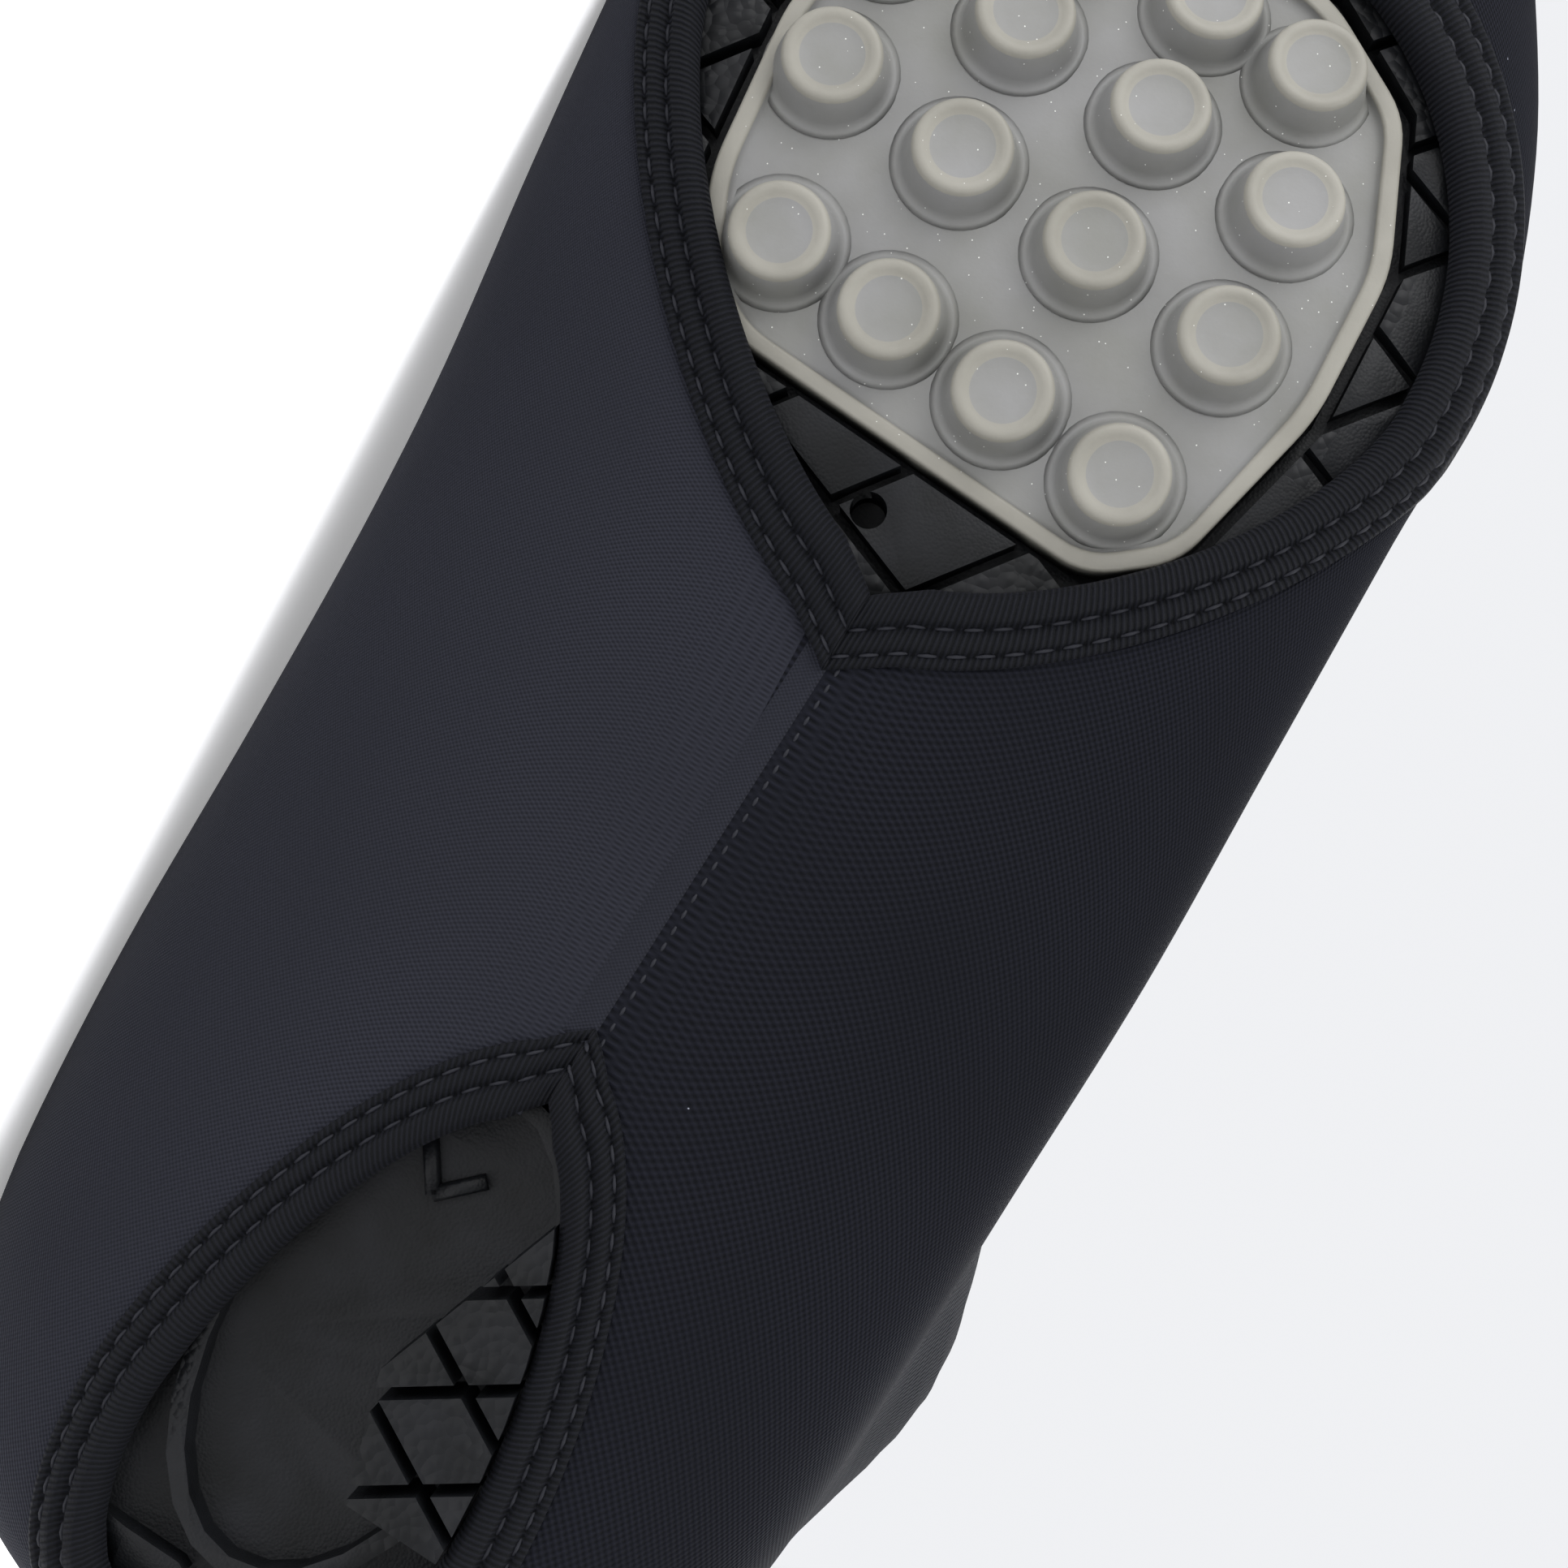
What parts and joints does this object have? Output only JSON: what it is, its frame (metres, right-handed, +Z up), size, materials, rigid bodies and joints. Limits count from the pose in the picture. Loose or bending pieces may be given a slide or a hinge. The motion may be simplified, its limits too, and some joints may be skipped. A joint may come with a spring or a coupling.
{
  "type": "cycling overshoe",
  "caption": "Left cycling overshoe: stretch fabric shell with taped openings over a studded grip pad and a black treaded sole, lying on its side.",
  "frame": {"origin": "middle of the box that the lying shoe fills, on the ground", "axes": "the shoe lies on its inner side: +X towards the heel, +Y from the sole to the collar, +Z up towards the outer side"},
  "size_m": [0.2902, 0.169, 0.1011],
  "materials": {
    "fabric": "matt knitted stretch fabric",
    "tape": "matt ribbed folded tape",
    "black_rubber": "satin moulded rubber",
    "grey_rubber": "satin moulded rubber",
    "foam": "matt fabric-covered foam"
  },
  "bodies": {
    "root": {"upper": "fabric", "forefoot_binding": "tape", "heel_binding": "tape", "collar_binding": "tape", "outsole": "black_rubber", "grip_pad": "grey_rubber", "insole": "foam"}
  },
  "joints": []
}
